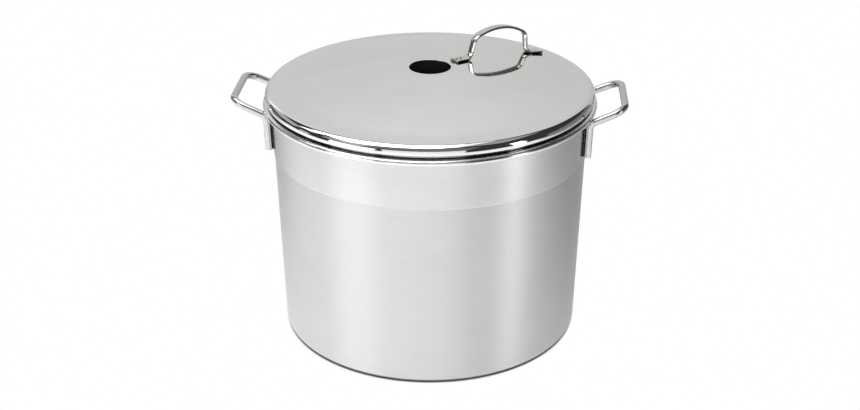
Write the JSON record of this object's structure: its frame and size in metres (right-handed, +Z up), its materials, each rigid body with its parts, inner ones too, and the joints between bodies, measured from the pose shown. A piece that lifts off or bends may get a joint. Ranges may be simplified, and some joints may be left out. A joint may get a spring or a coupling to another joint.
{
  "type": "brew kettle",
  "caption": "Stainless steel brew kettle with a rolled rim, rod side handles and a lift-off domed lid with a round centre hole and a strap handle.",
  "frame": {"origin": "centre of the kettle's flat base, on the surface that it stands on", "axes": "+Z up along the kettle's axis, +X through the middle of the right handle, left handle on -X"},
  "size_m": [0.3954, 0.3362, 0.3004],
  "materials": {
    "kettle_steel": "satin, brushed round the wall",
    "rod_steel": "polished",
    "lid_steel": "polished",
    "strap_steel": "polished",
    "weld_steel": "as welded"
  },
  "bodies": {
    "kettle": {"kettle_body": "kettle_steel", "right_handle": "rod_steel", "right_handle_weld_front_lower": "weld_steel", "right_handle_weld_front_upper": "weld_steel", "right_handle_weld_rear_lower": "weld_steel", "right_handle_weld_rear_upper": "weld_steel", "left_handle": "rod_steel", "left_handle_weld_front_lower": "weld_steel", "left_handle_weld_front_upper": "weld_steel", "left_handle_weld_rear_lower": "weld_steel", "left_handle_weld_rear_upper": "weld_steel"},
    "lid": {"lid_plate": "lid_steel", "lid_handle": "strap_steel", "lid_handle_weld_inner_1": "weld_steel", "lid_handle_weld_inner_2": "weld_steel", "lid_handle_weld_outer_1": "weld_steel", "lid_handle_weld_outer_2": "weld_steel"}
  },
  "joints": [
    {"name": "lid_lift", "type": "slide", "parent": "kettle", "child": "lid", "axis": [0, 0, 1], "range_m": [0, 0.2]}
  ]
}
